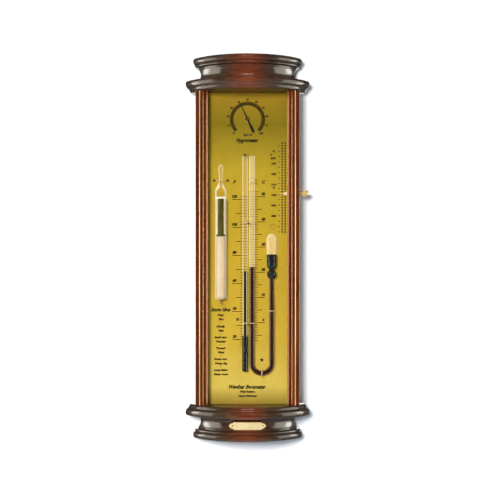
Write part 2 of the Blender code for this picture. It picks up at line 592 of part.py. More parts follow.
knob_outline = [(2.9, 0.0), (2.9, 1.3), (2.2, 1.8), (2.2, 2.5), (KNOB_R - 0.45, 2.9), (KNOB_R, 3.5),
                (KNOB_R, 8.3), (KNOB_R - 0.55, 9.7), (1.9, 10.5)]
knob_profile = [(0.0, stem_end + GAP), (knob_bore, stem_end + GAP), (knob_bore, knob_foot)]
knob_profile += [(r, knob_foot + x) for r, x in knob_outline] + [(0.0, KNOB_END)]
make("pointer_knob", lathe(knob_profile, "X", stem_axis, 24), "brass", stem_pivot)

# ---------------------------------------------------------------- name plate

def on_bow(point, turn):
    """Swing a point made on the centre line round the bow's centre."""
    x, y, z = point
    y -= BOW_BACK
    return (x * math.cos(turn) - y * math.sin(turn), BOW_BACK + x * math.sin(turn) + y * math.cos(turn), z)


def name_pin(turn, shank_r, head_r, tip, head):
    """A pin through the name plate, pointing to the bow's centre."""
    face = NAME_R + NAME_T - BOW_BACK + GAP
    verts, faces = lathe([(0.0, tip), (shank_r, tip), (shank_r, face), (head_r, face), (head_r, face + head),
                          (head_r * 0.6, face + head * 2), (0.0, face + head * 2.2)], "Y",
                         (0.0, 0.0, NAME_Z), 12)
    return [on_bow(v, turn) for v in verts], faces


name_rings = []
ends = [(0.0, 0.25), (0.8, 0.8), (1.6, 1.9), (2.8, 2.9), (4.2, 3.3), (5.6, 3.5), (6.4, NAME_HALF_H)]
ends = [(NAME_HALF_L - back, half_h) for back, half_h in ends]
stations = [(-s, h) for s, h in ends] + [(4.0 * k, NAME_HALF_H) for k in range(-3, 4)]
stations += [(s, h) for s, h in reversed(ends)]
for s, half_h in stations:
    turn = s / NAME_R
    corners = [(NAME_R, half_h), (NAME_R + NAME_T, half_h), (NAME_R + NAME_T, -half_h), (NAME_R, -half_h)]
    name_rings.append([on_bow((0.0, BOW_BACK - r, NAME_Z + h), turn) for r, h in corners])
name_plate = make("name_plate", skin(name_rings), "brass")
name_holes = []
for tag, sign in (("left", -1), ("right", 1)):
    turn = sign * NAME_PIN / NAME_R
    pin_tip = NAME_R - BOW_BACK - 7.1
    make("name_pin_" + tag, name_pin(turn, 0.6, 1.2, pin_tip, 0.3), "brass")
    name_holes.append(name_pin(turn, 0.6 + GAP, 0.6 + GAP + 0.01, pin_tip - GAP, 2.0))
name_cutter = make_cutter("name_holes", name_holes)
cut(name_plate, name_cutter)
cut(plinth_cove, name_cutter)
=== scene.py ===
# %% [markdown]
# # A bow-fronted weather station
#
# The real object is a glossy mahogany wall case. A bent pane of glass covers a gilt plate, and
# on the plate are a hygrometer dial, a storm glass, a thermometer and a U-shaped barometer.
# The imported model gives every size. This script adds smooth shapes, print and finishes.
#
# The first cell clears the start-up scene, opens the imported model and keeps its box.

# %% Open the imported model
import json
import math
import random

import bmesh
import bpy
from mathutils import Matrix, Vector

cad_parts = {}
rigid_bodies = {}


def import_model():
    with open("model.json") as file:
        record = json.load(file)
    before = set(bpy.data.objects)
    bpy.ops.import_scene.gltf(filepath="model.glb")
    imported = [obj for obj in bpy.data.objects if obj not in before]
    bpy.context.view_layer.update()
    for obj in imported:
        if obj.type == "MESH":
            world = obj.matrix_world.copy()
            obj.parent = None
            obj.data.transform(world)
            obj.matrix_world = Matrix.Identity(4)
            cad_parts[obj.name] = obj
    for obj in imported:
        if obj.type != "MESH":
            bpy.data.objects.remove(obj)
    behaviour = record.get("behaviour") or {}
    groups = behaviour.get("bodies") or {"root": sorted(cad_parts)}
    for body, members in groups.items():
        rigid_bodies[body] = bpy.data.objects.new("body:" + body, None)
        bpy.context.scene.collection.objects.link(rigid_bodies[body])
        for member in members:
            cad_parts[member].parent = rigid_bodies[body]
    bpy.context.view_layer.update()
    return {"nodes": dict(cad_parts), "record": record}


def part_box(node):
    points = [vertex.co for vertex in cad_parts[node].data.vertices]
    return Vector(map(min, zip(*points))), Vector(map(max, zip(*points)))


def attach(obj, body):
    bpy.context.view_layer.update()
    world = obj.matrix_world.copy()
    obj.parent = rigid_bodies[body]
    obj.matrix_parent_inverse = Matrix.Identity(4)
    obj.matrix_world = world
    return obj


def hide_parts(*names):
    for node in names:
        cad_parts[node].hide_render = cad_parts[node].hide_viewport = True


for old in list(bpy.data.objects):
    bpy.data.objects.remove(old, do_unlink=True)
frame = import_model()
MM = 0.001

# %% [markdown]
# ## Making meshes
#
# Nearly every piece is one of three things: a profile turned on a lathe, a round rod bent along
# a path, or a section pushed along the wall. All three are rows of points joined to the next
# row, so one function, `skin`, does the joining. A row of one point closes a round end.

# %% Rows of points become a mesh

def skin(rows, loop=False):
    """Join equal rows of points into faces; a row of one point is a pole."""
    points, first = [], []
    for row in rows:
        first.append(len(points))
        points.extend(row)
    pairs = [(k, k + 1) for k in range(len(rows) - 1)] + ([(len(rows) - 1, 0)] if loop else [])
    faces = []
    for a, b in pairs:
        size_a, size_b = len(rows[a]), len(rows[b])
        size = max(size_a, size_b)
        for i in range(size):
            j = (i + 1) % size
            quad = [first[a] + i % size_a, first[a] + j % size_a,
                    first[b] + j % size_b, first[b] + i % size_b]
            faces.append(list(dict.fromkeys(quad)))
    if not loop:
        for k in (0, len(rows) - 1):
            if len(rows[k]) > 2:
                faces.append([first[k] + i for i in range(len(rows[k]))])
    return points, faces


def piece(name, shape, finish, stands_for=(), body="case", sharp=35):
    """Make one piece in metres, smooth it, and fix it to the body it moves with."""
    points, faces = shape
    mesh = bpy.data.meshes.new(name)
    mesh.from_pydata(points, [], faces)
    edit = bmesh.new()
    edit.from_mesh(mesh)
    bmesh.ops.recalc_face_normals(edit, faces=edit.faces)
    edit.to_mesh(mesh)
    edit.free()
    mesh.shade_smooth()
    mesh.set_sharp_from_angle(angle=math.radians(sharp))
    mesh.materials.append(finish)
    obj = bpy.data.objects.new(name, mesh)
    bpy.context.scene.collection.objects.link(obj)
    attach(obj, body)
    if stands_for:
        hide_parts(*stands_for)
    return obj


def arc(cx, cy, radius, start, stop, steps):
    """Points on an arc; angles are degrees from the first axis towards the second."""
    turns = [math.radians(start + (stop - start) * k / steps) for k in range(steps + 1)]
    return [(cx + radius * math.cos(t), cy + radius * math.sin(t)) for t in turns]


def turned(profile, x, y, sides=40):
    """A lathe on an upright axis; the profile is (radius, height)."""
    rows = []
    for radius, z in profile:
        count = sides if radius > 0 else 1
        turns = [math.tau * (k + 0.5) / count for k in range(count)]
        rows.append([(x + radius * math.cos(t), y + radius * math.sin(t), z) for t in turns])
    return skin(rows)


def soft_line(points, steps=6):
    """A smooth curve through given points."""
    ends = [points[0]] + list(points) + [points[-1]]
    out = []
    for k in range(len(points) - 1):
        p0, p1, p2, p3 = (Vector(p) for p in ends[k:k + 4])
        for s in range(steps):
            t = s / steps
            out.append(0.5 * (2 * p1 + (p2 - p0) * t + (2 * p0 - 5 * p1 + 4 * p2 - p3) * t * t
                              + (3 * p1 - p0 - 3 * p2 + p3) * t ** 3))
    return [tuple(p) for p in out] + [tuple(points[-1])]


print("three ways of making a mesh are ready")

# %% [markdown]
# ## Finishes: the common start
#
# Each finish is a Principled shader. A value that is the same everywhere is typed straight on
# the shader's socket. Colour and bump come from noise in the piece's own coordinates, which are
# metres here, so a grain that is 1 mm wide needs a scale of about 1000.

# %% A finish and its noise

class Finish:
    """A new material with short ways of adding its nodes."""

    def __init__(self, name, **sockets):
        self.mat = bpy.data.materials.new(name)
        self.mat.use_nodes = True
        self.nodes, self.links = self.mat.node_tree.nodes, self.mat.node_tree.links
        self.shader = self.nodes["Principled BSDF"]
        self.coords = self.nodes.new("ShaderNodeTexCoord")
        for socket, value in sockets.items():
            self.shader.inputs[socket.replace("_", " ")].default_value = value

    def noise(self, stretch, detail=4.0, rough=0.55, distort=0.0):
        """Noise whose grains are 1 / stretch metres along each axis."""
        place = self.nodes.new("ShaderNodeMapping")
        place.inputs["Scale"].default_value = stretch
        self.links.new(self.coords.outputs["Object"], place.inputs["Vector"])
        tex = self.nodes.new("ShaderNodeTexNoise")
        tex.inputs["Scale"].default_value = 1.0
        tex.inputs["Detail"].default_value = detail
        tex.inputs["Roughness"].default_value = rough
        tex.inputs["Distortion"].default_value = distort
        self.links.new(place.outputs["Vector"], tex.inputs["Vector"])
        return tex.outputs["Fac"]

    def ramp(self, value, *stops):
        """Colours at places from 0 to 1."""
        node = self.nodes.new("ShaderNodeValToRGB")
        while len(node.color_ramp.elements) < len(stops):
            node.color_ramp.elements.new(0.5)
        for element, (at, colour) in zip(node.color_ramp.elements, stops):
            element.position = at
            element.color = (*colour, 1.0)
        self.links.new(value, node.inputs["Fac"])
        return node.outputs["Color"]

    def mix(self, kind, amount, a, b):
        """Mix two colours; amount is a number or a socket."""
        node = self.nodes.new("ShaderNodeMix")
        node.data_type = "RGBA"
        node.blend_type = kind
        for socket, value in zip((node.inputs[0], node.inputs[6], node.inputs[7]), (amount, a, b)):
            if isinstance(value, bpy.types.NodeSocket):
                self.links.new(value, socket)
            elif isinstance(value, tuple):
                socket.default_value = (*value, 1.0)
            else:
                socket.default_value = value
        return node.outputs[2]

    def span(self, value, low, high, from_low=0.0, from_high=1.0):
        """Map a value to another range."""
        node = self.nodes.new("ShaderNodeMapRange")
        node.inputs["From Min"].default_value = from_low
        node.inputs["From Max"].default_value = from_high
        node.inputs["To Min"].default_value = low
        node.inputs["To Max"].default_value = high
        self.links.new(value, node.inputs["Value"])
        return node.outputs["Result"]

    def middle(self, near, far):
        """One within near metres of the middle in X, fading to nothing at far."""
        split = self.nodes.new("ShaderNodeSeparateXYZ")
        self.links.new(self.coords.outputs["Object"], split.inputs["Vector"])
        size = self.nodes.new("ShaderNodeMath")
        size.operation = "ABSOLUTE"
        self.links.new(split.outputs["X"], size.inputs[0])
        return self.span(size.outputs[0], 1.0, 0.0, near, far)

    def height(self, low, high):
        """Nothing at height low, one at height high, in metres."""
        split = self.nodes.new("ShaderNodeSeparateXYZ")
        self.links.new(self.coords.outputs["Object"], split.inputs["Vector"])
        return self.span(split.outputs["Z"], 0.0, 1.0, low, high)

    def bump(self, height, depth, strength=1.0):
        """Raise the surface by up to depth metres."""
        node = self.nodes.new("ShaderNodeBump")
        node.inputs["Distance"].default_value = depth
        node.inputs["Strength"].default_value = strength
        self.links.new(height, node.inputs["Height"])
        self.links.new(node.outputs["Normal"], self.shader.inputs["Normal"])

    def lean(self):
        """How far the surface leans away: 0 square on, 1 edge on."""
        node = self.nodes.new("ShaderNodeLayerWeight")
        node.inputs["Blend"].default_value = 0.5
        return node.outputs["Facing"]

    def feed(self, **links):
        """Join outputs to the shader's sockets."""
        for socket, output in links.items():
            self.links.new(output, self.shader.inputs[socket.replace("_", " ")])
        return self.mat


print("finishes can be mixed")

# %% [markdown]
# ## Mahogany
#
# The case is mahogany under thick polish: long dark pores in red-brown wood, with a clear,
# mirror-like skin over them. The pores are stretched noise. The polish is the shader's coat,
# which keeps its own smooth surface while the wood below it has the bump. The hollow coves
# mirror more softly, so their coat is a little rougher.

# %% Mahogany along any axis

def mahogany(name, along, deep, mid, light, painted_centre_glow=None, **polish):
    """Polished wood whose grain runs along X or Z; the last colour is a painted red glow about the middle,
    where the bow faces the front.
    """
    stretch = {"X": (14, 420, 420), "Z": (420, 420, 14)}[along]
    broad = {"X": (5, 60, 60), "Z": (60, 60, 5)}[along]
    wood = Finish(name, **polish)
    figure = wood.ramp(wood.noise(broad, 3.0, 0.6, 1.2), (0.25, deep), (0.5, mid), (0.78, light))
    # Painted light: near the middle in X the colour turns to a redder glow, standing in for the front light
    # on the bow.
    if painted_centre_glow:
        figure = wood.mix("MIX", wood.middle(0.004, 0.030), figure, painted_centre_glow)
    pores = wood.noise(stretch, 6.0, 0.7)
    streaks = wood.ramp(pores, (0.38, (0.35, 0.3, 0.28)), (0.58, (1.0, 1.0, 1.0)))
    wood.bump(pores, 0.00012, 0.35)
    return wood.feed(Base_Color=wood.mix("MULTIPLY", 0.75, figure, streaks))


# The red last colour given to the two dark woods is the painted glow about the middle of the bow.
dark_mahogany = mahogany("dark_mahogany", "X", (0.026, 0.015, 0.010), (0.056, 0.032, 0.018),
                         (0.092, 0.052, 0.027), (0.170, 0.038, 0.012), Roughness=0.4,
                         Specular_IOR_Level=0.1, Coat_Weight=1.0, Coat_Roughness=0.06, Coat_IOR=1.36)
soft_mahogany = mahogany("soft_mahogany", "X", (0.026, 0.015, 0.010), (0.054, 0.031, 0.017),
                         (0.092, 0.052, 0.027), (0.170, 0.038, 0.012), Roughness=0.4,
                         Specular_IOR_Level=0.1, Coat_Weight=1.0, Coat_Roughness=0.14, Coat_IOR=1.48)
red_mahogany = mahogany("red_mahogany", "Z", (0.075, 0.011, 0.001), (0.120, 0.018, 0.002),
                        (0.23, 0.050, 0.007), Roughness=0.18, IOR=1.78,
                        Specular_IOR_Level=1.0, Specular_Tint=(1.0, 0.60, 0.32, 1.0))
print("wood:", dark_mahogany.name, soft_mahogany.name, red_mahogany.name)

# %% [markdown]
# ## Gilt plate and brass
#
# The plate is thin brass with a satin gold lacquer, slightly cloudy with age and brushed from
# side to side, with painted shade that darkens it under the cornice and at its foot. The clips,
# knob and plates are bright brass that has dulled in patches.

# %% Gilt, brass and steel

def bright_metal(name, light, dull, rough, metallic=0.75):
    """Polished metal with soft tarnish, a skin of lacquer and fine rubbing marks."""
    metal = Finish(name, Metallic=metallic)
    cloud = metal.noise((160, 160, 160), 3.0)
    rub = metal.noise((2500, 2500, 2500), 2.0)
    metal.bump(rub, 0.00002, 0.3)
    return metal.feed(Base_Color=metal.ramp(cloud, (0.35, dull), (0.62, light)),
                      Roughness=metal.span(cloud, rough * 1.5, rough))


def gilt():
    """The dial plate's satin gold lacquer, with painted shade and light by height."""
    gold = Finish("gilt_plate", Metallic=0.15, Specular_IOR_Level=0.25)
    cloud = gold.noise((45, 45, 30), 5.0, 0.65, 0.5)
    brushed = gold.noise((40, 40, 2600), 3.0, 0.7)
    fleck = gold.noise((1500, 1500, 1500), 2.0)
    # Painted shade and light by height: dark at the foot by the plinth, brightest just above it, then darker
    # upwards to a painted shadow under the cornice, a little lighter at the very top.
    painted_height_shade = gold.ramp(gold.height(-0.195, 0.195), (0.0, (0.42, 0.29, 0.045)),
                     (0.05, (0.80, 0.60, 0.115)), (0.2, (0.68, 0.46, 0.050)),
                     (0.5, (0.59, 0.395, 0.031)), (0.75, (0.50, 0.355, 0.026)),
                     (0.9, (0.25, 0.180, 0.012)), (1.0, (0.36, 0.225, 0.018)))
    colour = gold.mix("MULTIPLY", 0.8, painted_height_shade, gold.ramp(cloud, (0.3, (0.84, 0.83, 0.75)),
                                                       (0.75, (1.0, 1.0, 1.0))))
    colour = gold.mix("MULTIPLY", 0.35, colour, gold.ramp(fleck, (0.3, (0.8, 0.78, 0.7)),
                                                         (0.7, (1.0, 1.0, 1.0))))
    gold.bump(brushed, 0.00002, 0.4)
    return gold.feed(Base_Color=colour, Roughness=gold.span(brushed, 0.36, 0.5))


gilt_plate = gilt()
brass = bright_metal("bright_brass", (0.86, 0.62, 0.24), (0.62, 0.40, 0.13), 0.16)
pale_brass = bright_metal("pale_brass", (0.98, 0.82, 0.46), (0.90, 0.70, 0.34), 0.25, 0.3)
steel = bright_metal("dull_steel", (0.60, 0.59, 0.57), (0.36, 0.35, 0.34), 0.3)
bronze = bright_metal("dark_bronze", (0.16, 0.09, 0.04), (0.07, 0.04, 0.02), 0.3, 0.6)
knob_brass = bright_metal("knob_brass", (0.85, 0.62, 0.25), (0.58, 0.40, 0.13), 0.2, 0.5)
print("metals:", gilt_plate.name, brass.name, pale_brass.name, steel.name)

# %% [markdown]
# ## Glass and what is in it
#
# Thin clear glass mostly shows what is behind it, and shows itself only at its edges, where the
# eye looks along the wall, and where it mirrors a lamp. So the glass is nearly see-through when
# it faces the eye and solid at its edges, and the cream colour of the tubes there is painted light
# for their bright edges. Light then still reaches the plate behind it. A tube full of dark liquid
# is a dark line with painted light along its edges, which `filled` gives without bending light.

# %% Glass, liquids and crystals

def clear(name, edge_colour, face, edge, start, stop, rough=0.02):
    """Glass that is faint when seen square on; from start to stop of leaning it turns solid in its given
    colour, which for cream glass is painted edge light.
    """
    glass = Finish(name, Base_Color=(*edge_colour, 1.0), Roughness=rough, IOR=1.5)
    return glass.feed(Alpha=glass.span(glass.lean(), face, edge, start, stop))


def liquid(name, deep, thin, rough=0.04):
    """A dark, glossy liquid with a slightly uneven depth of colour."""
    wet = Finish(name, Roughness=rough, IOR=1.36, Coat_Weight=0.2, Coat_Roughness=0.1)
    drift = wet.noise((220, 220, 60), 3.0)
    return wet.feed(Base_Color=wet.ramp(drift, (0.35, deep), (0.7, thin)))


def filled(name, core, rim, start, stop):
    """A tube full of dark liquid: dark in the middle, with painted light along its two edges."""
    glass = Finish(name, Roughness=0.14, IOR=1.5)
    return glass.feed(Base_Color=glass.ramp(glass.lean(), (start, core), (stop, rim)))


# spirit_stem and red_wet: dark cores with painted light along their edges.
spirit_stem = filled("spirit_stem", (0.012, 0.012, 0.011), (0.66, 0.50, 0.20), 0.07, 0.26)
red_wet = filled("red_wet", (0.022, 0.009, 0.004), (0.42, 0.20, 0.06), 0.14, 0.55)
pane = clear("pane_glass", (0.03, 0.04, 0.03), 0.0, 0.35, 0.5, 1.0, 0.1)
# The cream glass colours here are painted light: they stand in for the bright, lit edges of the tubes and the
# pale look of their bores.
tube_glass = clear("tube_glass", (1.0, 0.88, 0.58), 0.0, 0.85, 0.2, 0.5, 0.14)
storm_side = clear("storm_side", (0.98, 0.84, 0.52), 0.0, 0.8, 0.09, 0.26, 0.14)
meniscus_highlight = clear("meniscus_highlight", (1.0, 0.93, 0.72), 0.75, 0.9, 0.1, 0.3, 0.14)
wet_glass = clear("wet_glass", (0.013, 0.014, 0.015), 0.1, 1.0, 0.1, 0.3, 0.14)
full_bore = clear("full_bore", (0.9, 0.8, 0.6), 0.0, 0.1, 0.6, 1.0)
empty_bore = clear("empty_bore", (1.0, 0.86, 0.56), 0.14, 0.45, 0.1, 0.8, 0.14)
thin_bore = clear("thin_bore", (0.8, 0.66, 0.36), 0.05, 0.40, 0.1, 0.8, 0.14)
blue_spirit = liquid("blue_spirit", (0.008, 0.009, 0.010), (0.016, 0.018, 0.020))
red_fluid = liquid("red_fluid", (0.016, 0.002, 0.0015), (0.05, 0.006, 0.004))
print("glass and liquids are mixed")

# %% [markdown]
# The glass of a full bulb looks dark right to its rim, because the wall bends the light of the
# liquid outwards. An empty bore looks pale. So a tube has more than one finish, and `recoat`
# gives another finish to the faces that a test picks.

# %% Changing the finish of some faces

def recoat(obj, finish, test):
    """Give a second finish to the faces whose centre passes the test."""
    obj.data.materials.append(finish)
    for face in obj.data.polygons:
        if test(*face.center):
            face.material_index = len(obj.data.materials) - 1
    return obj


def glassware(obj):
    """Glass lets light through to what is behind it."""
    obj.visible_shadow = False
    return obj


# %% [markdown]
# ## Bowed mouldings
#
# The cornice and the plinth are bow-shaped in plan and have a flat back. Each is three lengths
# of moulding: a torus bed, a hollow cove and a beaded cap. A real one is a straight profile run
# round a curved former. Here each level of the profile becomes one outline in plan, and the
# outlines are joined. The plinth is the cornice upside down, so one list serves both.

# %% Cornice and plinth
BOW_BACK = 0.036            # the bow's centre is this far behind the wall
BOW_EXTRA = 0.014           # bow radius minus half width
BED_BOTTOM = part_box("cornice_bed")[0].z
CAP_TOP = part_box("cornice_cap")[1].z
PROFILES = {
    "bed": [[(71.2, 196.7), (72.3, 197.4), (73.4, 199.0), (74.4, 201.0), (75.4, 202.3)],
            [(75.4, 202.3), (76.1, 202.6)],
            [(76.1, 202.6), (77.2, 203.6), (77.9, 205.3), (78.1, 207.2), (77.7, 209.0),
             (76.6, 210.3), (75.0, 210.9), (73.3, 211.0)]],
    "cove": [[(63.2, 211.3), (61.2, 212.5), (59.8, 214.6), (59.1, 217.2), (59.0, 219.4)],
             [(59.0, 219.4), (59.6, 221.6), (60.7, 224.4), (62.6, 227.7)]],
    "cap": [[(63.2, 228.0), (64.8, 228.2)],
            [(64.8, 228.2), (65.9, 229.0), (66.3, 230.2), (65.9, 231.4), (65.6, 231.6)],
            [(65.6, 231.6), (67.0, 232.2), (68.2, 233.6), (68.75, 235.6), (68.4, 237.5),
             (67.3, 239.0), (65.9, 239.8), (64.8, 240.0)]],
}


def bow_outline(half_w, steps=64):
    """Plan of one level: flat back, short side returns, bowed front."""
    radius = half_w + BOW_EXTRA
    lean = math.degrees(math.asin(half_w / radius))
    front = arc(0.0, BOW_BACK, radius, 270 - lean, 270 + lean, steps)
    return [(-half_w, 0.0)] + front + [(half_w, 0.0)]


def moulding(name, runs, flip, stands_for):
    """Run a profile round the bow; flip is -1 for the plinth."""
    levels = []
    for run in runs:
        line = soft_line(run, 4) if len(run) > 2 else run
        levels += [p for p in line if not levels or p != levels[-1]]
    rows = [[(x, y, flip * z * MM) for x, y in bow_outline(w * MM)] for w, z in levels]
    wood = soft_mahogany if "cove" in name else dark_mahogany
    return piece(name, skin(rows), wood, (stands_for,), sharp=28)


for part, runs in PROFILES.items():
    moulding("cornice_" + part + "_wood", runs, 1, "cornice_" + part)
for part, twin in (("bed", "bed"), ("cove", "cove"), ("cap", "foot")):
    moulding("plinth_" + twin + "_wood", PROFILES[part], -1, "plinth_" + twin)
print("mouldings from", round(BED_BOTTOM / MM, 1), "to", round(CAP_TOP / MM, 1), "mm up")

# %% [markdown]
# ## Pillars, walls and back
#
# A half-round with a flat fillet on each side runs up both front edges. Its small quirks catch
# thin lines of light, so the section is rebuilt here with a rounder face and eased corners. The
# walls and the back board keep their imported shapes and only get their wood.

# %% Pillars
pillar_low, pillar_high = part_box("right_pillar")
PILLAR_IN, PILLAR_OUT = pillar_low.x, pillar_high.x
PILLAR_BACK, PILLAR_FRONT = -pillar_high.y, -pillar_low.y
FILLET_D = PILLAR_FRONT - 3.6 * MM
ROUND_FROM_EDGE, ROUND_HALF = 7.5 * MM, 3.7 * MM


def pillar_section():
    """A round near the outer edge, a fillet on each side, and a bevel beside the glass."""
    mid, half = PILLAR_OUT - ROUND_FROM_EDGE, ROUND_HALF
    ease, lip, bevel = 0.6 * MM, 1.7 * MM, 2.2 * MM
    outer = arc(PILLAR_OUT - ease, FILLET_D - ease, ease, 0, 90, 5)
    inner = [(PILLAR_IN + bevel + 0.3 * MM, FILLET_D), (PILLAR_IN + bevel, FILLET_D - 0.15 * MM)]
    quirk = 0.5 * MM
    rounds = [(mid + half * math.cos(t), FILLET_D - quirk + (PILLAR_FRONT - FILLET_D + quirk) * math.sin(t))
              for t in [math.pi * k / 40 for k in range(41)]]
    seat = [(PILLAR_IN, FILLET_D - lip), (PILLAR_IN + 4.8 * MM, FILLET_D - lip),
            (PILLAR_IN + 4.8 * MM, PILLAR_BACK)]
    return [(PILLAR_OUT, PILLAR_BACK)] + outer + [(mid + half + 0.25 * MM, FILLET_D)] + rounds + [
        (mid - half - 0.25 * MM, FILLET_D)] + inner + seat


for side, sign in (("left", -1), ("right", 1)):
    rows = [[(sign * x, -d, z) for x, d in pillar_section()] for z in (pillar_low.z, pillar_high.z)]
    piece(side + "_pillar_wood", skin(rows), red_mahogany, (side + "_pillar",), sharp=25)
print("pillars", round((PILLAR_OUT - PILLAR_IN) / MM, 1), "mm wide")

# %% [markdown]
# ## Lathe-turned glass
#
# The thermometer and the storm glass are straight tubes, so a lathe makes them. Each profile
# goes up the outside, over the rim and down the bore, so the wall has a real thickness. What
# is inside fills the bore to just short of the glass.

# %% Thermometer
tube_low, tube_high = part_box("thermometer_glass")
THERMO_X, TUBE_Y = (tube_low.x + tube_high.x) / 2, (tube_low.y + tube_high.y) / 2
BULB_R, STEM_R, BORE_R = 3.7 * MM, 3.25 * MM, 1.5 * MM
bulb_foot, bulb_top = tube_low.z, tube_low.z + 43.7 * MM
spirit_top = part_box("thermometer_spirit")[1].z


def bulb_outline(radius, foot, shoulder, stem, top):
    """A test-tube foot, straight sides, a pointed shoulder and a stem."""
    round_foot = [(radius * math.sin(t), foot + radius * 0.8 * (1 - math.cos(t)))
                  for t in [math.pi / 2 * k / 8 for k in range(9)]]
    point = soft_line([(radius, shoulder), (radius * 0.93, shoulder + 2.0 * MM),
                       ((radius + stem) / 2, shoulder + 4.0 * MM), (stem, shoulder + 6.5 * MM)], 4)
    outline = round_foot + point
    if spirit_top < top:            # a row at the liquid's top, where the finish changes
        outline.append((stem, spirit_top))
    return outline + [(stem, top)]


glass_out = bulb_outline(BULB_R, bulb_foot, bulb_top, STEM_R, tube_high.z)
glass_in = bulb_outline(BULB_R - 0.8 * MM, bulb_foot + 0.9 * MM, bulb_top - 0.5 * MM, BORE_R, tube_high.z)
thermo_tube = glassware(piece("thermometer_tube", turned(glass_out + glass_in[::-1], THERMO_X, TUBE_Y),
                              tube_glass, ("thermometer_glass",)))


def off_axis(x, y, axis_x, axis_y=TUBE_Y):
    """Distance from an upright axis."""
    return math.hypot(x - axis_x, y - axis_y)


recoat(thermo_tube, thin_bore, lambda x, y, z: off_axis(x, y, THERMO_X) < BORE_R + 0.1 * MM
       and z > spirit_top)
recoat(thermo_tube, full_bore, lambda x, y, z: off_axis(x, y, THERMO_X) < BULB_R - 0.7 * MM and z < bulb_top
       or off_axis(x, y, THERMO_X) < BORE_R + 0.1 * MM and z < spirit_top)
recoat(thermo_tube, spirit_stem, lambda x, y, z: off_axis(x, y, THERMO_X) > BORE_R + 0.2 * MM
       and bulb_top + 3.0 * MM < z < spirit_top)
recoat(thermo_tube, wet_glass, lambda x, y, z: off_axis(x, y, THERMO_X) > BULB_R - 0.7 * MM and z < bulb_top
       + 3.0 * MM)
spirit = bulb_outline(BULB_R - 0.85 * MM, bulb_foot + 1.0 * MM, bulb_top - 0.5 * MM,
                      BORE_R - 0.05 * MM, spirit_top)
piece("thermometer_liquid", turned(spirit + [(0.0, spirit_top)], THERMO_X, TUBE_Y), blue_spirit,
      ("thermometer_spirit",))
print("the spirit stands", round((spirit_top - bulb_foot) / MM, 1), "mm above the bulb's foot")

# %% [markdown]
# The storm glass is drawn to a nipple and sealed. Its clear liquid stands on a long column of
# white crystals. Crystals are soft, ragged flakes, so their surface is pushed in and out with
# seeded random steps, and their top breaks into a few feathers.

# %% Storm glass
storm_low, storm_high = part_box("storm_glass")
STORM_X, STORM_Y = (storm_low.x + storm_high.x) / 2, (storm_low.y + storm_high.y) / 2
STORM_R = (storm_high.y - storm_low.y) / 2
STORM_BORE = STORM_R - 1.0 * MM
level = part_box("storm_liquid")[1].z
crystal_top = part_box("storm_crystals")[1].z
foot = storm_low.z


def round_foot(radius, z):
    """A half-round tube end."""
    return [(radius * math.sin(t), z + radius * 0.93 * (1 - math.cos(t)))
            for t in [math.pi / 2 * k / 10 for k in range(11)]]


neck_out = soft_line([(7.5, 71.5), (7.1, 74.0), (5.4, 77.0), (3.6, 79.9), (2.8, 82.5), (2.45, 86.0),
                      (2.4, 89.5), (2.7, 94.0), (3.3, 97.5), (3.15, 100.6), (2.2, 103.2), (0.9, 104.4)], 4)
neck_in = soft_line([(0.35, 102.4), (1.2, 100.5), (1.7, 97.5), (1.3, 91.0), (1.3, 85.0), (2.0, 80.8),
                     (3.5, 77.4), (5.8, 74.2), (6.5, 71.0)], 4)
storm_profile = round_foot(STORM_R, foot)
storm_profile += [(STORM_R, z) for z in (crystal_top, level - 0.4 * MM, level + 1.6 * MM)]
storm_profile += [(r * MM, z * MM) for r, z in neck_out]
storm_profile += [(0.35 * MM, storm_high.z)] + [(r * MM, z * MM) for r, z in neck_in]
storm_profile += round_foot(STORM_BORE, foot + 1.4 * MM)[::-1]
storm_tube = glassware(piece("storm_tube", turned(storm_profile, STORM_X, STORM_Y, 48), tube_glass,
                             ("storm_glass",)))
recoat(storm_tube, full_bore, lambda x, y, z: off_axis(x, y, STORM_X, STORM_Y) < STORM_BORE + 0.1 * MM
       and z < level)
recoat(storm_tube, storm_side, lambda x, y, z: off_axis(x, y, STORM_X, STORM_Y) > STORM_BORE + 0.2 * MM
       and crystal_top < z < level)
# Painted highlight: a bright band of glass just above the storm liquid's level, for the shine of its
# meniscus.
recoat(storm_tube, meniscus_highlight, lambda x, y, z: off_axis(x, y, STORM_X, STORM_Y) > STORM_BORE + 0.2 * MM
       and level < z < level + 1.5 * MM)
recoat(storm_tube, thin_bore, lambda x, y, z: off_axis(x, y, STORM_X, STORM_Y) < STORM_BORE + 0.1 * MM
       and level < z < level + 10 * MM)

chance = random.Random(7)


def crystal_column():
    """A ragged white column with feathers standing up from its top."""
    rows, sides, steps = [], 40, 90
    base = foot + 1.6 * MM
    reach = STORM_BORE - 0.12 * MM
    for k in range(steps + 1):
        share = k / steps
        z = base + (crystal_top - 3.0 * MM - base) * share
        fill = min(1.0, math.sqrt(max(0.0, 1 - (1 - (z - base) / reach) ** 2))) if z < base + reach else 1.0
        rows.append([(reach * max(fill, 0.06) * (1 - 0.07 * chance.random()), z) for s in range(sides)])
    points = []
    for row in [[(0.0, base)]] + rows:
        turns = [math.tau * s / sides for s in range(len(row))]
        points.append([(STORM_X + r * math.cos(t), STORM_Y + r * math.sin(t), z)
                       for (r, z), t in zip(row, turns)])
    top = [(0.82, 0.8), (0.55, 1.6), (0.3, 2.3)]
    for share, rise in top:
        ring = []
        for s in range(sides):
            t = math.tau * s / sides
            lift = (rise + 0.9 * chance.random()) * MM
            ring.append((STORM_X + reach * share * math.cos(t), STORM_Y + reach * share * math.sin(t),
                         crystal_top - 3.0 * MM + lift))
        points.append(ring)
    points.append([(STORM_X, STORM_Y, crystal_top - 0.3 * MM)])
    return skin(points)


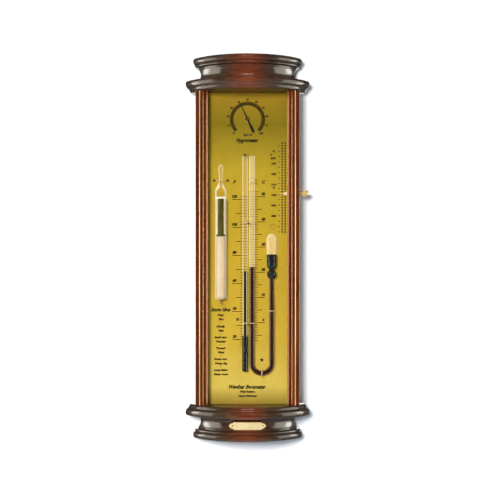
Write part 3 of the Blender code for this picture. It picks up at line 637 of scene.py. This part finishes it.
def crystal_finish():
    """Damp white flakes, a little cream where the light comes through."""
    snow = Finish("storm_crystal", Roughness=0.55, Subsurface_Weight=0.25, Subsurface_Scale=0.002)
    snow.shader.inputs["Subsurface Radius"].default_value = (1.0, 0.9, 0.7)
    flakes = snow.noise((900, 900, 500), 6.0, 0.7)
    drift = snow.noise((160, 160, 50), 3.0)
    snow.bump(flakes, 0.0004, 0.8)
    base = snow.ramp(drift, (0.3, (0.60, 0.48, 0.28)), (0.65, (0.73, 0.60, 0.39)))
    return snow.feed(Base_Color=snow.mix("MULTIPLY", 0.5, base, snow.ramp(
        flakes, (0.3, (0.7, 0.7, 0.66)), (0.6, (1.0, 1.0, 1.0)))))


piece("storm_crystal_column", crystal_column(), crystal_finish(), ("storm_crystals",), sharp=60)
storm_fluid = Finish("storm_fluid", Roughness=0.05, IOR=1.36)
depth_cloud = storm_fluid.noise((260, 260, 40), 3.0)
storm_fluid.feed(Base_Color=storm_fluid.ramp(depth_cloud, (0.3, (0.030, 0.028, 0.006)),
                                             (0.7, (0.13, 0.105, 0.020))))
fluid_r = STORM_BORE - 0.1 * MM
meniscus = [(fluid_r * math.sin(t), level - 0.9 * MM * math.cos(t) ** 2)
            for t in [math.pi / 2 * k / 8 for k in range(9)]]
fluid_foot = crystal_top - 3.0 * MM
piece("storm_clear_liquid", turned([(0.0, fluid_foot + 4.2 * MM), (fluid_r * 0.5, fluid_foot + 3.4 * MM),
                                    (fluid_r, fluid_foot + 0.6 * MM)] + meniscus[::-1], STORM_X, STORM_Y),
      storm_fluid.mat, ("storm_liquid",))
print("crystals up to", round(crystal_top / MM, 1), "liquid up to", round(level / MM, 1), "mm")

# %% [markdown]
# ## The U-tube barometer
#
# One long glass tube goes down the plate, round a bend and up again, through a fine thread, a
# small ball and a closed bulb. It is a round rod along that path, with its own radius at every
# point. The same path, drawn with the bore's radius, makes the fluid.

# %% A rod along a path

def rod(path, radii, sides=32, normal=(0.0, 1.0, 0.0)):
    """Rows of points round a flat path; normal is square to the path's plane."""
    up = Vector(normal)
    rows = []
    for k, here in enumerate(path):
        run = (Vector(path[min(k + 1, len(path) - 1)]) - Vector(path[max(k - 1, 0)])).normalized()
        out = run.cross(up)
        turns = [math.tau * (s + 0.5) / sides for s in range(sides)]
        rows.append([tuple(Vector(here) + radii[k] * (math.cos(t) * up + math.sin(t) * out)) for t in turns])
    return rows


# %% The barometer's glass and fluid
baro_low, baro_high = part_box("barometer_tube")
TUBE_R, TUBE_BORE, BEND_R = 3.55 * MM, 2.05 * MM, 12.35 * MM
long_x = baro_low.x + TUBE_R
short_x = long_x + 2 * BEND_R
bend_z = baro_low.z + TUBE_R + BEND_R
fluid_left = -23.7 * MM
arm = soft_line([(-66.0, 3.55), (-62.5, 3.5), (-58.5, 3.35), (-54.0, 3.3), (-41.0, 3.3), (-38.4, 3.7),
                 (-36.4, 5.0), (-34.4, 5.8), (-32.4, 6.0), (-30.4, 5.6), (-28.6, 4.2), (-27.2, 3.2),
                 (-25.8, 4.2), (-24.2, 5.4), (-22.0, 6.1), (-19.0, 6.3), (-8.0, 6.3), (11.0, 6.3),
                 (13.8, 5.8), (16.0, 4.5), (17.6, 2.4)], 4)
bore = soft_line([(-66.0, 2.05), (-62.5, 1.9), (-58.5, 1.45), (-54.0, 1.25), (-41.0, 1.25), (-38.4, 1.8),
                  (-36.4, 3.8), (-34.4, 5.0), (-32.4, 5.3), (-30.4, 4.8), (-28.6, 3.1), (-27.2, 2.1),
                  (-25.8, 3.1), (-24.2, 4.5), (-22.0, 5.25), (-19.0, 5.5), (-8.0, 5.5), (11.0, 5.5),
                  (13.6, 4.9), (15.4, 3.6), (16.6, 1.8)], 4)
bend = [(x, TUBE_Y, z) for x, z in arc(long_x + BEND_R, bend_z, BEND_R, 180, 360, 40)]
path = ([(long_x, TUBE_Y, baro_high.z), (long_x, TUBE_Y, fluid_left)] + bend +
        [(short_x, TUBE_Y, z * MM) for z, r in arm])
plain = len(bend) + 2
outer = rod(path, [TUBE_R] * plain + [r * MM for z, r in arm])
inner = rod(path, [TUBE_BORE] * plain + [r * MM for z, r in bore])
outer.append([(short_x, TUBE_Y, 18.15 * MM)])
inner.append([(short_x, TUBE_Y, 17.2 * MM)])
baro_tube = glassware(piece("barometer_glass", skin(outer[::-1] + inner), tube_glass, ("barometer_tube",)))
BULB_LEVEL = -8.0 * MM
dark_top, dark_foot = BULB_LEVEL, -38.5 * MM


def in_bore(x, y, z):
    """Whether a face belongs to the bore: in a straight stretch it lies near an axis."""
    if z < bend_z:
        ring = math.hypot(x - long_x - BEND_R, z - bend_z) - BEND_R
        return math.hypot(ring, y - TUBE_Y) < TUBE_BORE + 0.2 * MM
    if x < long_x + BEND_R:
        return off_axis(x, y, long_x) < TUBE_BORE + 0.2 * MM
    wall = min(bore + arm, key=lambda row: abs(row[0] * MM - z) + (0 if row in bore else 1.0))
    return off_axis(x, y, short_x) < wall[1] * MM + 0.35 * MM


def fluid_line(x, short_arm):
    """Where the fluid ends in the arm at x; short_arm is its height in the short arm."""
    return fluid_left if x < long_x + BEND_R else short_arm


recoat(baro_tube, full_bore, lambda x, y, z: in_bore(x, y, z) and z < fluid_line(x, BULB_LEVEL))
recoat(baro_tube, empty_bore, lambda x, y, z: in_bore(x, y, z) and z > fluid_line(x, BULB_LEVEL))
recoat(baro_tube, red_wet, lambda x, y, z: not in_bore(x, y, z) and z < fluid_line(x, dark_foot))
recoat(baro_tube, wet_glass, lambda x, y, z: x > long_x + BEND_R and dark_foot < z < dark_top
       and not in_bore(x, y, z))

wet = [(z, r) for z, r in bore if z <= -8.0]
split = next(k for k, (z, r) in enumerate(wet) if z > -39.0)
red_path = [(long_x, TUBE_Y, fluid_left)] + bend + [(short_x, TUBE_Y, z * MM) for z, r in wet[:split + 1]]
red_r = [TUBE_BORE - 0.05 * MM] * (plain - 1) + [r * MM - 0.05 * MM for z, r in wet[:split + 1]]
piece("barometer_red_fluid", skin(rod(red_path, red_r)), red_fluid, ("barometer_fluid",))
blue_path = [(short_x, TUBE_Y, z * MM) for z, r in wet[split:]]
piece("barometer_dark_fluid", skin(rod(blue_path, [r * MM - 0.05 * MM for z, r in wet[split:]])), blue_spirit)
print("the long arm is at", round(long_x / MM, 1), "and the short arm at", round(short_x / MM, 1), "mm")

# %% [markdown]
# ## Bent front glass
#
# The pane is a slice of a cylinder, bent to the bow. Real bent glass is slumped over a former,
# so it is not quite even.

# %% Front pane
pane_low, pane_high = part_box("front_glass")
pane_r = BOW_BACK - pane_low.y
pane_lean = math.degrees(math.asin(pane_high.x / pane_r))
sheet = arc(0.0, BOW_BACK, pane_r, 270 - pane_lean, 270 + pane_lean, 64)
sheet += arc(0.0, BOW_BACK, pane_r - 2.0 * MM, 270 + pane_lean, 270 - pane_lean, 64)
glassware(piece("bent_glass_pane", skin([[(x, y, z) for x, y in sheet] for z in (pane_low.z, pane_high.z)]),
                pane, ("front_glass",)))
print("pane radius", round(pane_r / MM, 1), "mm")

# %% [markdown]
# ## Print on the plate
#
# The scales and words are screen-printed in dark ink. Ink is a film far too thin to model true
# to life, so each mark here is a raised chip 0.03 mm proud. A group of marks is one mesh. The
# words are plain instrument terms and the numbers are the scales' own.

# %% Ink, bars, dots and letters
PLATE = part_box("dial_plate")[0].y
INK_UP, INK_DOWN = PLATE - 0.03 * MM, PLATE + 0.01 * MM


def ink_finish():
    """Dark ink, worn a little thin in places."""
    wet = Finish("printed_ink", Roughness=0.45)
    worn = wet.noise((700, 700, 700), 4.0)
    return wet.feed(Base_Color=wet.ramp(worn, (0.35, (0.006, 0.004, 0.002)), (0.75, (0.018, 0.011, 0.004))))


ink = ink_finish()


def chip(outline):
    """A raised chip of ink with a given outline in (x, z) millimetres."""
    return skin([[(x * MM, y, z * MM) for x, z in outline] for y in (INK_UP, INK_DOWN)])


def bar(x0, x1, z, thick=0.3):
    """A level line."""
    return chip([(x0, z - thick / 2), (x1, z - thick / 2), (x1, z + thick / 2), (x0, z + thick / 2)])


def dot(x, z, radius):
    """A round dot."""
    return chip(arc(x, z, radius, 0, 330, 11))


FINE_PRINT = 3.5                # letters shorter than this are inked a little heavier
FINE_WEIGHT, WEIGHT = 0.07, 0.05


def letters(text, x, z, tall, wide=None, slant=0.0):
    """Words in the plain built-in face, centred on x with capitals centred on z."""
    curve = bpy.data.curves.new("letters", "FONT")
    curve.body, curve.shear, curve.extrude, curve.resolution_u = text, slant, 0.01, 3
    curve.offset = FINE_WEIGHT if tall < FINE_PRINT else WEIGHT
    holder = bpy.data.objects.new("letters", curve)
    mesh = bpy.data.meshes.new_from_object(holder)
    edit = bmesh.new()
    edit.from_mesh(mesh)
    bmesh.ops.remove_doubles(edit, verts=edit.verts, dist=0.0005)
    left, right = min(v.co.x for v in edit.verts), max(v.co.x for v in edit.verts)
    capital = 0.72
    grow = tall / capital
    widen = wide / (right - left) if wide else grow
    points = [((x + (v.co.x - (left + right) / 2) * widen) * MM, INK_UP if v.co.z > 0 else INK_DOWN,
               (z + (v.co.y - capital / 2) * grow) * MM) for v in edit.verts]
    edit.verts.index_update()
    faces = [[v.index for v in face.verts] for face in edit.faces]
    edit.free()
    bpy.data.objects.remove(holder)
    bpy.data.curves.remove(curve)
    bpy.data.meshes.remove(mesh)
    return points, faces


def printed(name, marks):
    """Join many marks into one printed piece."""
    points, faces = [], []
    for mark_points, mark_faces in marks:
        first = len(points)
        points += mark_points
        faces += [[first + i for i in face] for face in mark_faces]
    print(name, len(marks), "marks")
    return piece(name, (points, faces), ink, sharp=20)


# %% [markdown]
# The hygrometer's band is a hundred short cells with hairline gaps, over three quarters of a
# turn, and a number stands outside every tenth cell. The storm glass has its own list of signs.

# %% Hygrometer dial
DIAL_Z = (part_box("hygrometer_cap")[0].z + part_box("hygrometer_cap")[1].z) / 2 / MM
BAND_IN, BAND_OUT, NUMBER_R = 17.9, 22.1, 24.7
SWEEP, CELLS = 270.0, 100


def dial_cell(k):
    """One cell of the band; cells run clockwise from the lower left."""
    step = SWEEP / CELLS
    start, stop = 225 - k * step - 0.22, 225 - (k + 1) * step + 0.22
    return chip(arc(0, DIAL_Z, BAND_OUT, start, stop, 2) + arc(0, DIAL_Z, BAND_IN, stop, start, 2))


def dial_ring(r_out, r_in):
    """A thin line along the band."""
    return chip(arc(0, DIAL_Z, r_out, 225, -45, 90) + arc(0, DIAL_Z, r_in, -45, 225, 90))


marks = [dial_cell(k) for k in range(CELLS)]
marks += [dial_ring(BAND_OUT + 0.12, BAND_OUT - 0.2), dial_ring(BAND_IN + 0.2, BAND_IN - 0.12)]
for k in range(0, 11):
    turn = math.radians(225 - k * SWEEP / 10)
    marks.append(letters(str(k * 10), NUMBER_R * math.cos(turn), DIAL_Z + NUMBER_R * math.sin(turn), 2.3))
marks.append(letters("R.H. %", 0.5, DIAL_Z - 19.6, 2.7))
marks.append(letters("Hygrometer", -0.2, DIAL_Z - 26.2, 4.9, 28.5, 0.35))
printed("hygrometer_print", marks)

# %% [markdown]
# The thermometer has degrees Fahrenheit on its left and Celsius on its right. Both scales are
# straight lines in height, so a loop places every mark. Long marks carry a number just above
# them, and the shortest ones pass behind the two tubes.

# %% Thermometer scales

def fahrenheit_z(degrees):
    return 61.6 - (120 - degrees) * 1.768


def celsius_z(degrees):
    return -94.0 + 3.18 * degrees


marks = []
for degrees in range(16, 123, 2):
    reach = -19.2 if degrees % 20 == 0 else -14.1 if degrees % 10 == 0 else -9.1
    marks.append(bar(reach, 0.6, fahrenheit_z(degrees), 0.85 if degrees % 10 == 0 else 0.75))
for degrees in range(20, 121, 20):
    marks.append(letters(str(degrees), -16.3, fahrenheit_z(degrees) + 3.9, 3.3, slant=0.2))
marks.append(letters("32", -12.6, fahrenheit_z(32) + 4.3, 2.9, slant=0.2))
for degrees in range(-7, 53):
    reach = 22.0 if degrees % 10 == 0 else 18.0 if degrees % 5 == 0 else 13.0
    marks.append(bar(1.2, reach, celsius_z(degrees), 0.85 if degrees % 5 == 0 else 0.75))
for degrees in range(0, 51, 10):
    marks.append(letters(str(degrees), 20.0, celsius_z(degrees) + 3.6, 3.3, slant=0.2))
marks += [letters("F", -16.2, 83.7, 4.0, slant=0.3), letters("C", 20.4, 83.6, 4.0, slant=0.3)]
printed("thermometer_print", marks)

# %% [markdown]
# Air pressure is read on the right. Numbers step down every 13 mm, and three columns of dots
# give the set pointer something to line up with.

# %% Barometer register
marks = []
for k, pressure in enumerate((1030, 1020, 1010, 1000, 990, 980)):
    marks.append(letters(str(pressure), 33.2, 106.9 - 13.25 * k, 2.3, 6.4, 0.15))
marks += [letters("31", 33.2, 122.6, 2.4, slant=0.2), letters("hPa", 32.2, 113.6, 2.5, 7.4, 0.5),
          letters("in", 29.6, 118.4, 2.3, slant=0.5), letters("76", 33.2, 76.5, 2.2, slant=0.2)]
marks.append(chip(arc(32.1, 27.1, 3.5, 0, 350, 35) + arc(32.1, 27.1, 3.15, 350, 0, 35)))
for x, pitch, radius in ((39.8, 6.8, 0.85), (43.8, 3.4, 1.15), (47.5, 3.4, 1.15)):
    count = round((132.5 - 20.5) / pitch)
    marks += [dot(x, 20.5 + pitch * k, radius) for k in range(count + 1)]
printed("barometer_print", marks)

# %% Storm glass signs and title
SIGNS = [("Clear", "Fine"), ("Cloudy", "Rain"), ("Small stars", "Thunder"), ("Threads", "Wind"),
         ("Grains low", "Damp, fog"), ("Large flakes", "Heavy snow")]
marks = [letters("Storm Glass", -33.7, -77.3, 4.5, 25.0, 0.35)]
for k, (sign, weather) in enumerate(SIGNS):
    top = -84.2 - 13.75 * k - (0.6 if k else 0.0)
    marks.append(letters(sign, -33.7, top, 2.6, slant=0.25))
    marks.append(letters(weather, -33.4, top - 5.3, 2.6, slant=0.25))
    if k < len(SIGNS) - 1:
        marks.append(dot(-33.7, top - 9.7, 0.6))
printed("storm_glass_print", marks)
marks = [letters("Weather Barometer", 0.0, -174.8, 4.9, 47.0, 0.35),
         letters("Wall Pattern", 0.0, -180.9, 2.6, 19.0, 0.25),
         letters("Hand Finished", 0.0, -186.3, 2.4, 23.5, 0.25)]
star = [(18.1 + r * math.cos(math.radians(90 + 36 * k)), -141.0 + r * math.sin(math.radians(90 + 36 * k)))
        for k, r in enumerate([3.2, 1.3] * 5)]
marks.append(chip(star))
printed("title_print", marks)

# %% [markdown]
# ## Small metalwork
#
# A knurled knob turns the set pointer. Knurling is fine straight teeth round the rim, cut with a
# wheel. Here the teeth are in the lathe profile itself: every second point of a row lies deeper.

# %% Knurled knob
knob_low, knob_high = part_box("pointer_knob")
KNOB_Y, KNOB_Z = (knob_low.y + knob_high.y) / 2, (knob_low.z + knob_high.z) / 2
KNURL_DEPTH = 0.22
# each row is radius, distance from the middle of the case, and 1 where it is knurled
knob_profile = [(2.9, 66.1, 0), (2.9, 67.3, 0), (2.25, 67.8, 0), (2.2, 68.6, 0), (3.2, 68.9, 0),
                (3.6, 69.3, 0), (3.75, 69.7, 1), (3.75, 72.0, 1), (3.75, 74.3, 1), (3.55, 74.8, 0),
                (3.2, 75.7, 0), (2.4, 76.4, 0), (1.2, 76.8, 0)]


def knob_rows():
    """Rows of points along X; a knurled row dips at every second point."""
    bore_r, sides = 1.5, 80
    rows = []
    for radius, x, knurl in [(bore_r, 73.9, 0), (bore_r, 66.1, 0)] + knob_profile:
        row = []
        for k in range(sides):
            turn = math.tau * k / sides
            r = radius - (KNURL_DEPTH if knurl and k % 2 else 0.0)
            row.append((x * MM, KNOB_Y + r * MM * math.cos(turn), KNOB_Z + r * MM * math.sin(turn)))
        rows.append(row)
    return [[(73.9 * MM, KNOB_Y, KNOB_Z)]] + rows + [[(76.9 * MM, KNOB_Y, KNOB_Z)]]


piece("knurled_knob", skin(knob_rows()), knob_brass, ("pointer_knob",), "set_pointer", sharp=40)
print("knob", round((knob_high.x - knob_low.x) / MM, 1), "mm long")

# %% [markdown]
# ## Finishes for the rest
#
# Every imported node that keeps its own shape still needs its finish. The record says what each
# one is made of, so one table of finishes does them all. A few differ from the table, such as
# the black needle's brass cap or the dark heads of the little pins.

# %% Plywood, paint, cork and felt

def soft_finish(name, dark, light, grain, rough):
    """A dull finish made of two tones of fine noise."""
    dull = Finish(name, Roughness=rough)
    fine = dull.noise(grain, 5.0, 0.65)
    dull.bump(fine, 0.0001, 0.5)
    return dull.feed(Base_Color=dull.ramp(fine, (0.35, dark), (0.65, light)))


plywood = soft_finish("plywood", (0.22, 0.13, 0.06), (0.40, 0.26, 0.14), (600, 600, 18), 0.7)
black_paint = soft_finish("black_paint", (0.006, 0.005, 0.004), (0.016, 0.014, 0.011), (900, 900, 900), 0.3)
cork = soft_finish("cork", (0.16, 0.09, 0.04), (0.42, 0.27, 0.14), (1400, 1400, 1400), 0.9)
felt = soft_finish("green_felt", (0.02, 0.04, 0.02), (0.05, 0.09, 0.045), (2500, 2500, 2500), 0.95)
by_slot = {"mahogany_dark": dark_mahogany, "mahogany_red": red_mahogany, "plywood": plywood,
           "gilt_plate": gilt_plate, "brass": brass, "steel": steel, "black_paint": black_paint,
           "clear_glass": tube_glass, "cork": cork, "felt": felt}
special = {"name_plate": pale_brass, "tube_rest_upper": gilt_plate, "tube_rest_lower": gilt_plate,
           "bend_rest": gilt_plate, "storm_screw_left": bronze, "storm_screw_right": bronze,
           "tube_pin_upper": bronze, "tube_pin_lower": bronze, "pointer_hand": pale_brass,
           "pointer_block": pale_brass, "pointer_stem": pale_brass, "hygrometer_cap": bronze}
for wire in ("tube_clip_upper", "tube_clip_lower", "barometer_clip_under", "barometer_clip_over", "arm_clip",
             "bend_clip", "storm_clip"):
    special[wire] = pale_brass
finished = 0
for row in frame["record"]["subparts"]:
    node = frame["nodes"][row["node"]]
    chosen = special.get(row["node"]) or by_slot.get(row["material_slot"])
    if chosen:
        for k in range(len(node.material_slots)):
            node.material_slots[k].material = chosen
        finished += 1
print(finished, "packed nodes finished")

# %% [markdown]
# ## Wall, lights and camera
#
# The case hangs on a plain white wall. The wall is seen from the front only, so that a view
# from behind still shows the back board. A glossy bowed moulding shows its shape by what it
# mirrors. On each side a small strip gives the sharp flashes near the ends and a wide glow
# gives the broad sheen, and the rest of the room is dim, which keeps the polish dark. One soft
# lamp at the upper left gives the shadow, and a weak one behind lights the back board.

# %% Wall and floor

def stage_sheet(name, corners, glow, see_through):
    """A big flat sheet that is not part of the object."""
    mesh = bpy.data.meshes.new(name)
    mesh.from_pydata(corners, [], [(0, 1, 2, 3)])
    paper = Finish(name, Roughness=0.9, Specular_IOR_Level=0.0)
    paper.shader.inputs["Emission Color"].default_value = (1.0, 1.0, 1.0, 1.0)
    paper.shader.inputs["Emission Strength"].default_value = glow
    fibre = paper.noise((40, 40, 40), 2.0)
    paper.feed(Base_Color=paper.ramp(fibre, (0.3, (0.90, 0.93, 0.97)), (0.7, (0.92, 0.95, 0.99))))
    if see_through:
        side = paper.nodes.new("ShaderNodeNewGeometry")
        paper.feed(Alpha=paper.span(side.outputs["Backfacing"], 1.0, 0.0))
    mesh.materials.append(paper.mat)
    obj = bpy.data.objects.new(name, mesh)
    bpy.context.scene.collection.objects.link(obj)
    return obj


WALL_Y, FLOOR_Z, WIDE = 0.004, -1.6, 3.0
wall = stage_sheet("stage_wall", [(-WIDE, WALL_Y, FLOOR_Z), (WIDE, WALL_Y, FLOOR_Z), (WIDE, WALL_Y, WIDE),
                                  (-WIDE, WALL_Y, WIDE)], 0.01, True)
wall.visible_shadow = False
wall.visible_glossy = False
stage_sheet("stage_floor", [(-WIDE, -WIDE, FLOOR_Z), (WIDE, -WIDE, FLOOR_Z), (WIDE, WIDE, FLOOR_Z),
                            (-WIDE, WIDE, FLOOR_Z)], 0.1, False)

# %% Lights

def lamp(name, place, aim, width, height, power, shows="both", colour=(1.0, 1.0, 1.0), spread=180):
    """A soft rectangular lamp that faces a point; it can light surfaces, be mirrored, or both."""
    data = bpy.data.lights.new(name, "AREA")
    data.shape, data.size, data.size_y = "RECTANGLE", width, height
    data.energy, data.color, data.spread = power, colour, math.radians(spread)
    obj = bpy.data.objects.new(name, data)
    obj.location = place
    obj.rotation_euler = (Vector(aim) - Vector(place)).to_track_quat("-Z", "Y").to_euler()
    obj.visible_glossy = shows != "surfaces"
    obj.visible_diffuse = shows != "mirrored"
    bpy.context.scene.collection.objects.link(obj)


lamp("key", (-0.62, -2.2, 0.45), (0, 0, 0), 0.7, 0.6, 63, "surfaces", (1.0, 0.98, 0.95))
lamp("fill", (0.5, -2.2, -0.9), (0, 0, 0), 1.4, 1.0, 4, "surfaces", (0.6, 0.8, 1.0))
for tag, sign in (("left", -1), ("right", 1)):
    lamp("side_" + tag, (sign * 1.2, -0.6, 0.0), (0, 0, 0), 0.5, 1.6, 1.4, "surfaces", (0.8, 0.9, 1.0))
    lamp("strip_" + tag, (sign * 0.8, 0.03, 0.0), (0, -0.04, 0), 0.2, 0.36, 2.3, "mirrored",
         (1.0, 1.0, 0.93))
    lamp("glow_" + tag, (sign * 0.85, -0.18, 0.0), (0, -0.04, 0), 0.66, 0.95, 9, "mirrored",
         (1.0, 0.98, 0.88))
lamp("top", (0.0, -1.0, 1.3), (0, 0, 0), 0.5, 0.2, 3, "mirrored")
lamp("behind", (0.0, 1.6, 0.2), (0, 0, 0), 0.8, 0.8, 1.3, spread=100)

world = bpy.data.worlds.new("room")
bpy.context.scene.world = world
world.use_nodes = True
sky = world.node_tree.nodes["Background"]
seen = world.node_tree.nodes.new("ShaderNodeLightPath")
shade = world.node_tree.nodes.new("ShaderNodeMix")
shade.data_type = "RGBA"
shade.inputs[6].default_value = (0.055, 0.058, 0.052, 1.0)
shade.inputs[7].default_value = (0.85, 0.86, 0.88, 1.0)
world.node_tree.links.new(seen.outputs["Is Camera Ray"], shade.inputs[0])
world.node_tree.links.new(shade.outputs[2], sky.inputs["Color"])
bpy.context.scene.view_settings.view_transform = "Standard"
bpy.context.scene.view_settings.look = "None"

# %% Camera
camera_data = bpy.data.cameras.new("camera")
camera_data.lens, camera_data.sensor_width = 80.64, 36.0
camera_data.shift_x, camera_data.shift_y = 0.005, 0.040
camera = bpy.data.objects.new("camera", camera_data)
camera.location = (0.0, -1.425, -0.0275)
camera.rotation_euler = (math.radians(90), 0.0, 0.0)
bpy.context.scene.collection.objects.link(camera)
bpy.context.scene.camera = camera
print("camera", [round(c, 4) for c in camera.location])
